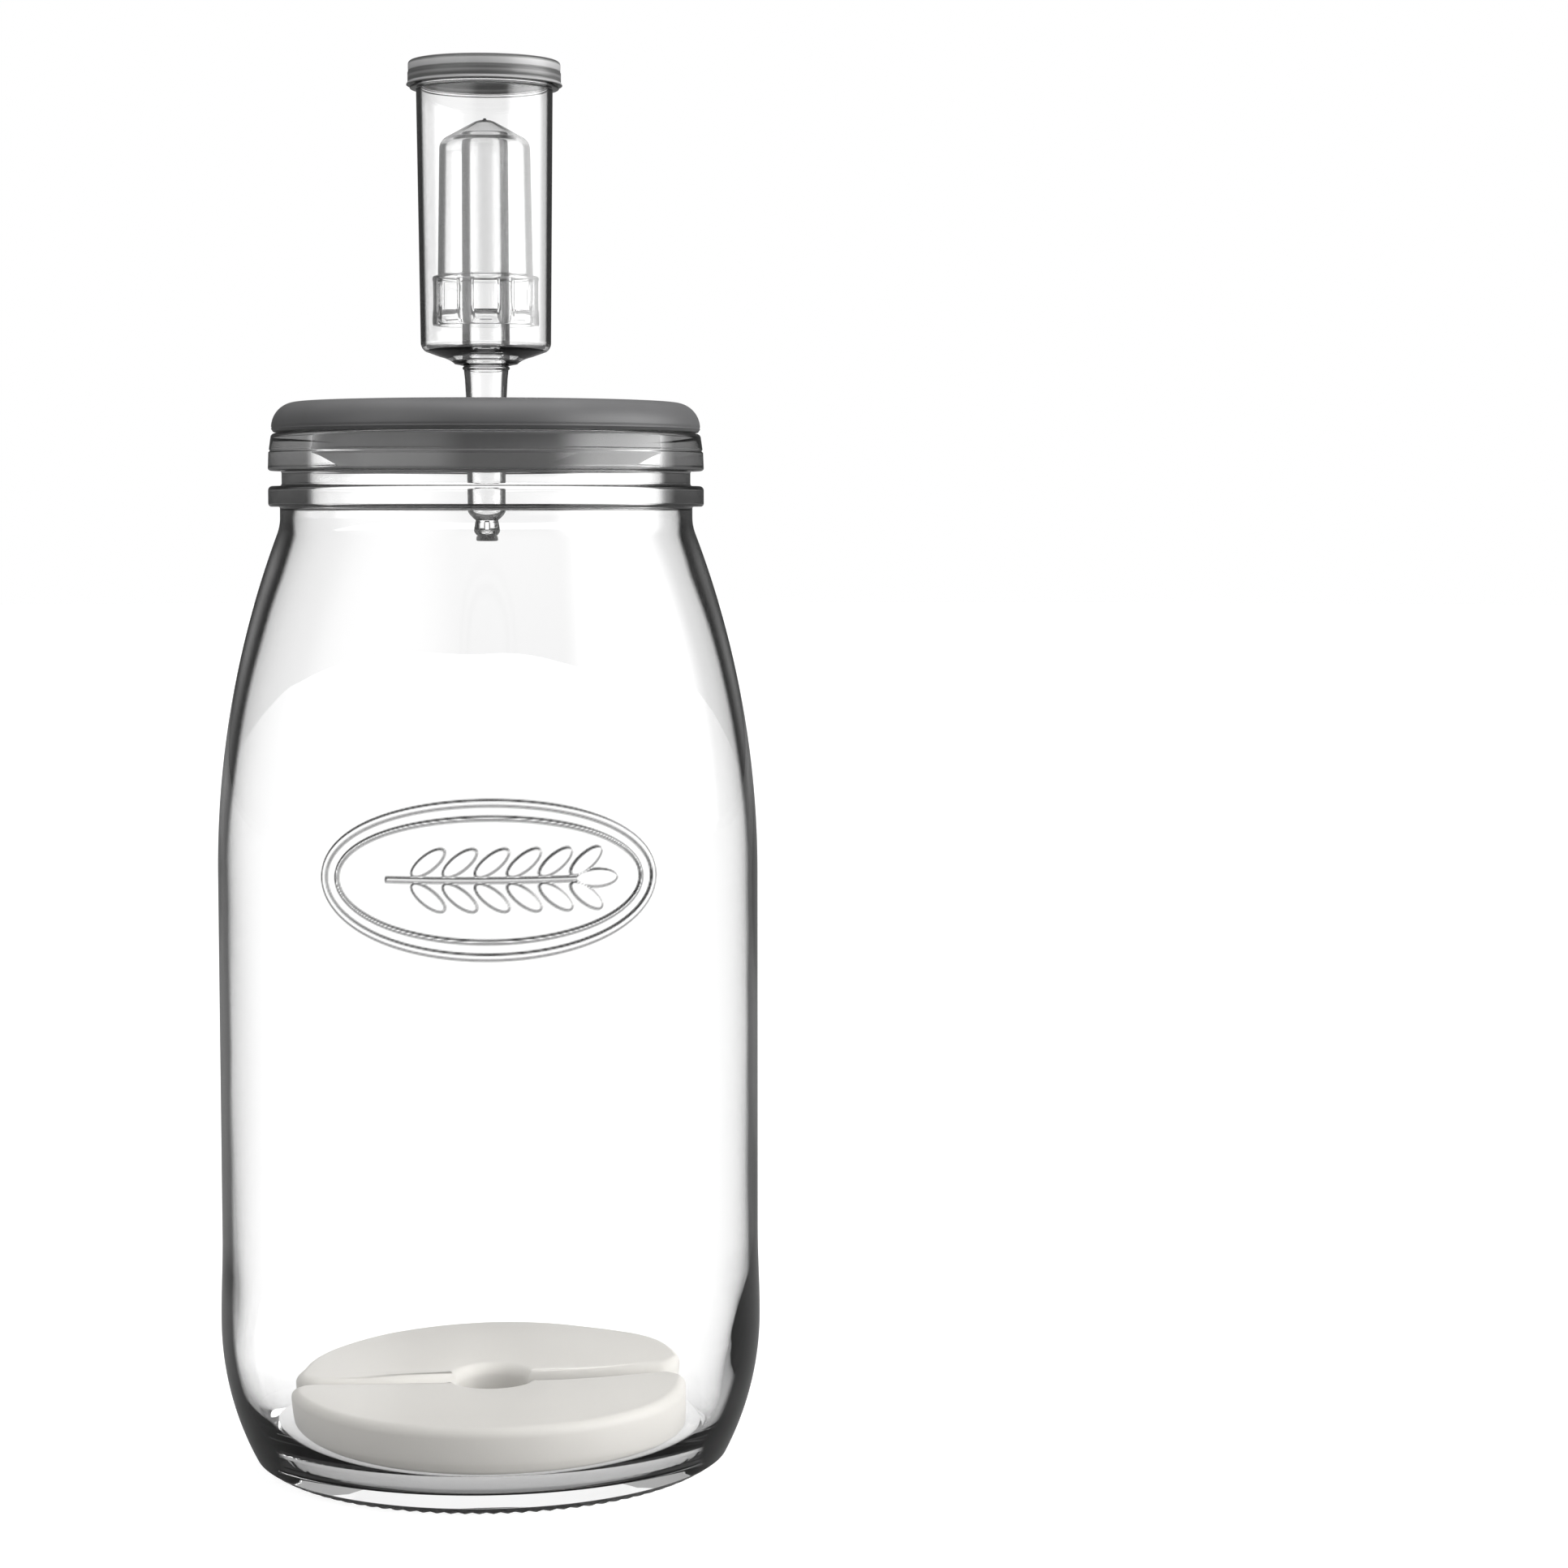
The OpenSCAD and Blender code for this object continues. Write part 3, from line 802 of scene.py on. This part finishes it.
# %% Turn the cup
stem_r = 5.0
collar_z = lid_top + 8.4
cup_r, cup_wall = 17.1, 1.15
cup_foot_r = cup_r - 0.7
rim_drop, flange_t = 2.7, 0.7
riser_r, riser_bore_r, stem_wall = 5.8, 4.5, 1.2
riser_top = skirt_z + 47.5
tip_z, tip_bore_r = stem_tip_z, 2.0
slot_low, slot_high = tip_z + 1.8, tip_z + 4.6
flange_z = cup_top - rim_drop
cup_outline = (
    [(tip_bore_r, tip_z + 0.15), (tip_bore_r + 0.15, tip_z)]
    + oval((2.25, tip_z + 1.9), 1.1, 1.9, -80, 0, 6)
    + [(3.35, slot_low + 0.05), (3.34, slot_low + 0.7), (3.1, slot_high - 0.2), (3.0, slot_high)]
    + [(2.85, tip_z + 5.2), (3.0, tip_z + 5.5), (3.5, tip_z + 6.0), (4.4, tip_z + 6.9), (stem_r - 0.25, tip_z + 7.5)]
    + even((stem_r - 0.25, tip_z + 7.5), (stem_r, lid_top - 0.7), 3)
    + [(stem_r, lid_top - 0.7)]
    + even((stem_r, lid_top - 0.7), (stem_r + 0.5, collar_z - 0.2), 2)
    + arc((stem_r + 0.5, collar_z + 0.25), 0.45, -75, 75, 7)
    + [(stem_r + 0.7, collar_z + 0.85)]
    + oval((cup_foot_r - 2, collar_z - 0.6), cup_foot_r - 9, 4, 152, 112, 10)
    + arc((cup_foot_r - 2.6, collar_z + 6.6), 2.6, -58, 0, 10)
    + even((cup_foot_r, collar_z + 6.6), (cup_r, flange_z - flange_t - 0.3), 5)
    + arc((cup_r + 0.2, flange_z - flange_t - 0.2), 0.2, 180, 90, 3)
    + arc((flange_r - 0.25, flange_z - flange_t / 2), 0.25, -90, 90, 6)
    + [(cup_r + 0.1, flange_z + 0.05), (cup_r, flange_z + 0.2)]
    + arc((cup_r - 0.45, cup_top - 0.45), 0.45, 0, 90, 4)
)
cup_hollow = (
    arc((cup_r - cup_wall + 0.45, cup_top - 0.45), 0.45, 90, 180, 4)
    + even((cup_r - cup_wall, cup_top - 0.45), (cup_foot_r - cup_wall, collar_z + 6.8), 8)
    + arc((cup_foot_r - cup_wall - 1.6, collar_z + 6.8), 1.6, 0, -60, 7)
    + oval((cup_foot_r - 3, collar_z + 1.2), cup_foot_r - 9.4, 3.4, 108, 150, 6)
)
riser = (
    arc((riser_r + 1.0, collar_z + 4.0), 0.8, -90, -180, 5)
    + even((riser_r + 0.2, collar_z + 4), (riser_r, riser_top - 0.4), 5)
    + arc((riser_r - 0.4, riser_top - 0.4), 0.4, 0, 90, 3)
)
gas_way = (
    arc((riser_bore_r + 0.3, riser_top - 0.3), 0.3, 90, 180, 3)
    + even((riser_bore_r, riser_top - 0.3), (riser_bore_r - 0.2, collar_z + 3), 6)
    + [(riser_bore_r - 0.2, collar_z + 3), (stem_r + 0.4 - stem_wall, collar_z - 1)]
    + even((stem_r + 0.4 - stem_wall, collar_z - 1), (stem_r - 0.2 - stem_wall, tip_z + 9), 4)
    + [(stem_r - 0.2 - stem_wall, tip_z + 9), (3.2, tip_z + 8.2), (tip_bore_r + 0.2, tip_z + 6.4)]
    + [(tip_bore_r, tip_z + 5), (tip_bore_r, slot_high), (tip_bore_r, slot_low)]
)
cup_steps = 120
cup_mesh = turned(cup_outline + cup_hollow + riser + gas_way, cup_steps, cup_hollow + gas_way)
bmesh.ops.rotate(
    cup_mesh, verts=cup_mesh.verts, cent=(0, 0, 0), matrix=Matrix.Rotation(math.pi / cup_steps, 3, "Z")
)
cut_windows(cup_mesh, 4, (9, cup_steps), slot_low, slot_high)
print("cup turned, with four slots in its tip")

# %% Set the painted edge shade on the cup
def cup_edge(point):
    r, z = radius(point), point.z / MM
    if z < tip_z + 7:
        return 0.2
    if r < 7.5:
        return 0.3 if z < collar_z + 4 else 0.24
    if z < collar_z + 5.5:
        return 0.86
    return band_start(cup_r - cup_wall, cup_r) - 0.03


def in_tube(point):
    return radius(point) < 7.5


set_numbers(
    cup_mesh,
    edge=cup_edge,
    depth=lambda p: 0.82 if in_tube(p) else 0.9,
    haze=lambda p: 0.1 if in_tube(p) else 0.22,
    veil=lambda p: 0.0 if in_tube(p) else 0.02,
    stripe=lambda p: 0.0,
)
finish_inside(cup_mesh)
cup = piece("airlock_cup", cup_mesh, "airlock", "clear_plastic", plastic, plastic_inside)

# %% [markdown]
# ## The bell
# The bell hangs upside down over the centre tube, and gas lifts it and escapes
# through the windows in its skirt. Its windows are cut as the slots were.

# %% Turn the bell
ledge_z = skirt_z + 12.5
shell_r, shell_t = skirt_r - 1.4, 1.0
cone_z = skirt_z + 47.1
window_low, window_high = ledge_z - 8.8, ledge_z - 1.1
bell_outline = (
    [(skirt_r - 0.75, skirt_z), (skirt_r - 0.15, skirt_z), (skirt_r, skirt_z + 0.15)]
    + even((skirt_r, skirt_z + 0.15), (skirt_r, window_low), 2)
    + [(skirt_r, window_low)]
    + even((skirt_r, window_low), (skirt_r, window_high), 2)
    + [(skirt_r, window_high)]
    + arc((skirt_r - 0.8, ledge_z - 0.8), 0.8, 0, 90, 6)
    + [(shell_r + 0.3, ledge_z), (shell_r + 0.08, ledge_z + 0.08), (shell_r, ledge_z + 0.3)]
    + even((shell_r, ledge_z + 0.3), (shell_r - 0.55, cone_z - 3), 4)
    + arc((shell_r - 3.95, cone_z - 3), 3.4, 0, 61, 10)
    + even((shell_r - 3.95 + 3.4 * math.cos(math.radians(61)), cone_z - 3 + 3.4 * math.sin(math.radians(61))),
           (6 * math.cos(math.radians(61)), cone_z - 1.6 + 6 * math.sin(math.radians(61))), 2)
    + arc((0, cone_z - 1.6), 6, 61, 85, 7)
    + [(0.42, cone_z + 4.42), (0.36, cone_z + 4.72), (0, cone_z + 4.8)]
)
bell_hollow = (
    arc((0, cone_z - 1.6), 5.2, 90, 61, 8)
    + [(shell_r - 3, cone_z - 0.9)]
    + arc((shell_r - 4.2, cone_z - 3.2), 2.6, 50, 0, 7)
    + even((shell_r - 1.6, cone_z - 3.2), (shell_r - shell_t, ledge_z - 0.9), 4)
    + [(shell_r - shell_t, ledge_z - 0.9), (skirt_r - 1.05, ledge_z - 0.9)]
    + [(skirt_r - 1.02, window_high)]
    + even((skirt_r - 1.02, window_high), (skirt_r - 0.92, window_low), 2)
    + [(skirt_r - 0.92, window_low)]
)
bell_mesh = turned([(skirt_r - 0.9, skirt_z + 0.15)] + bell_outline + bell_hollow, 120, bell_hollow)
bmesh.ops.rotate(bell_mesh, verts=bell_mesh.verts, cent=(0, 0, 0), matrix=Matrix.Rotation(math.pi / 120, 3, "Z"))
cut_windows(bell_mesh, 8, (9, 120), window_low, window_high)


def bell_edge(point):
    """Only the silhouette gets the painted dark band on the cone, which is seen slantwise all over."""
    z = point.z / MM
    if z > cone_z - 2.2:
        return 0.86
    return band_start(shell_r - shell_t, shell_r) - (0.12 if z > ledge_z else 0.0)


set_numbers(
    bell_mesh, edge=bell_edge, depth=lambda p: 0.8, haze=lambda p: 0.25, veil=lambda p: 0.03, stripe=lambda p: 0.0
)
finish_inside(bell_mesh)
bell = piece("airlock_bell", bell_mesh, "bell", "clear_plastic", plastic, plastic_inside)

# %% [markdown]
# ## The cap
# The cap is a thin, cloudy grey moulding, so its shader passes part of the light,
# softly. Its grey also changes with height, and these bands are painted light
# and shade: a painted pale band where nothing stands behind it, above the cup's
# rim, a painted darker band where that rim doubles the wall, two thin painted
# light lines lower down, and painted shade on the rounding of the top.

# %% Turn the cap
cap_z = cap_ring_z + 0.4
cap_t = 1.5
cap_side = cap_r - 0.35
cap_outline = (
    [(cup_r - cup_wall - 1.2, cap_top - cap_t), (cup_r - cup_wall - 1.2, cap_z - 0.2)]
    + [(cup_r - cup_wall - 1.0, cap_z - 0.4), (cup_r - cup_wall - 0.6, cap_z - 0.35), (cup_r - cup_wall - 0.3, cap_z)]
    + [(cup_r - cup_wall - 0.3, cup_top + 0.25), (cup_r + 0.35, cup_top + 0.25)]
    + [(cup_r + 0.35, cap_z + 0.6), (flange_r - 0.3, cap_z + 0.05)]
    + [(cap_r - 0.1, cap_z), (cap_r, cap_z + 0.08), (cap_r - 0.02, cap_z + 0.2)]
    + [(cap_side + 0.1, cap_z + 0.65), (cap_side - 0.12, cap_z + 0.85), (cap_side, cap_z + 1.05)]
    + even((cap_side, cap_z + 1.05), (cap_side, cap_z + 3.1), 0.7)
    + [(cap_side, cap_z + 3.1), (cap_side - 0.18, cap_z + 3.25), (cap_side - 0.12, cap_z + 3.4)]
    + arc((cap_side - 1, cap_top - 0.9), 0.9, 0, 90, 7)
    + even((cap_side - 1, cap_top), (0, cap_top), 3)
    + [(0, cap_top), (0, cap_top - cap_t)]
)
cap_mesh = turned(cap_outline, 128)
# Painted light and shade by height, from the lip up to the top of the cap.
cap_bands = [
    (cap_z - 0.1, 0.3), (cap_z + 0.45, 0.75), (cap_z + 0.9, 0.24), (cap_z + 1.5, 0.22), (cap_z + 2.1, 0.42),
    (cap_z + 2.5, 0.18), (cap_z + 3.3, 0.18), (cap_z + 3.7, 0.75), (cap_top - 1.1, 0.9), (cap_top - 0.75, 0.3),
    (cap_top - 0.35, 0.05), (cap_top, 0.16),
]
cap_plastic = soft_solid("cap_plastic", (0.2, 0.2, 0.2), 0.34, 90.0, bands=cap_bands, cloudy=0.45)
cap = piece("airlock_cap", cap_mesh, "cap", "grey_plastic", cap_plastic)

# %% [markdown]
# ## The weights
# Each weight is half a round stone with soft edges and half a finger hole. Its
# outline is drawn once, pushed up to its thickness by extrude, and bevelled.

# %% Model one weight
weight_low, weight_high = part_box("weight_rear")
weight_r = (weight_high.y - weight_low.y) / MM
weight_z, weight_t = weight_low.z / MM, (weight_high.z - weight_low.z) / MM
weight_gap = 2 * weight_low.y / MM
weight_corner, weight_soft, finger_r = 7.0, 2.6, 9.5


def half_disc():
    """Outline of half a disc with round corners and half a finger hole, in mm."""
    inner = weight_r - weight_corner
    span = math.sqrt(inner**2 - weight_corner**2)
    lift = math.degrees(math.atan2(weight_corner, span))
    base = weight_gap / 2
    right = oval((span, weight_corner + base), weight_corner, weight_corner, -90, lift, 9)
    top = [
        (weight_r * math.cos(math.radians(a)), weight_r * math.sin(math.radians(a)) + base)
        for a in [lift + (180 - 2 * lift) * i / 60 for i in range(1, 60)]
    ]
    left = [(-x, y) for x, y in reversed(right)]
    start = math.degrees(math.asin(base / finger_r))
    hole = [
        (finger_r * math.cos(math.radians(a)), finger_r * math.sin(math.radians(a)))
        for a in [180 - start - (180 - 2 * start) * i / 24 for i in range(25)]
    ]
    return right + top + left + hole


def weight_mesh():
    mesh = bmesh.new()
    loop = [mesh.verts.new((x * MM, y * MM, weight_z * MM)) for x, y in half_disc()]
    base = mesh.faces.new(loop)
    grown = bmesh.ops.extrude_face_region(mesh, geom=[base])
    upper = [g for g in grown["geom"] if isinstance(g, bmesh.types.BMVert)]
    bmesh.ops.translate(mesh, verts=upper, vec=(0, 0, weight_t * MM))
    bmesh.ops.recalc_face_normals(mesh, faces=mesh.faces)
    rims = [e for e in mesh.edges if abs(e.verts[0].co.z - e.verts[1].co.z) < 1e-6]
    bmesh.ops.bevel(
        mesh, geom=rims, offset=weight_soft * MM, affect="EDGES", segments=6, profile=0.5, material=-1
    )
    return mesh


stone = soft_solid("weight_glaze", (0.67, 0.652, 0.616), 0.34, 45.0, darkest=0.97)
rear_mesh = weight_mesh()
weight_rear = piece("weight_rear", rear_mesh, "rear_weight", "glazed_stone", stone)
front_mesh = weight_mesh()
bmesh.ops.rotate(front_mesh, verts=front_mesh.verts, cent=(0, 0, 0), matrix=Matrix.Rotation(math.pi, 3, "Z"))
weight_front = piece("weight_front", front_mesh, "front_weight", "glazed_stone", stone)

# %% [markdown]
# ## The floor
# The floor is pale and plain. What the camera sees of it, directly or through
# glass, is lifted almost to white, and the object's shadow stays on it. To the
# pieces it is a darker floor, so that the glass's foot can mirror something dark.

# %% Lay the floor
floor_mesh = bmesh.new()
bmesh.ops.create_circle(floor_mesh, cap_ends=True, segments=64, radius=8.0)
floor_data = bpy.data.meshes.new("floor")
floor_mesh.to_mesh(floor_data)
floor_mesh.free()
floor = bpy.data.objects.new("floor", floor_data)
bpy.context.scene.collection.objects.link(floor)
material, tree, shader, out = new_material("white_table")
shader.inputs["Base Color"].default_value = (0.2, 0.2, 0.2, 1)
shader.inputs["Roughness"].default_value = 0.9
shader.inputs["Specular IOR Level"].default_value = 0.0
glow = node_of(tree, "ShaderNodeEmission", Color=(1, 1, 1, 1), Strength=0.72)
half = node_of(tree, "ShaderNodeBsdfDiffuse", Color=(0.45, 0.45, 0.45, 1))
lifted = node_of(tree, "ShaderNodeAddShader")
tree.links.new(glow.outputs[0], lifted.inputs[0])
tree.links.new(half.outputs[0], lifted.inputs[1])
mixed = node_of(tree, "ShaderNodeMixShader")
tree.links.new(seen_as_background(tree), mixed.inputs[0])
tree.links.new(shader.outputs[0], mixed.inputs[1])
tree.links.new(lifted.outputs[0], mixed.inputs[2])
tree.links.new(mixed.outputs[0], out.inputs["Surface"])
floor_data.materials.append(material)
print("floor laid")

# %% [markdown]
# ## Light paths and the view
# A ray that crosses the jar meets a dozen clear walls, so Cycles is allowed to
# follow it further than it does by default. Colours are shown plainly.

# %% Set the light paths
cycles = bpy.context.scene.cycles
cycles.max_bounces = 32
cycles.transmission_bounces = 32
cycles.transparent_max_bounces = 32
bpy.context.scene.view_settings.view_transform = "Standard"

# %% Finish
print("sizes written")
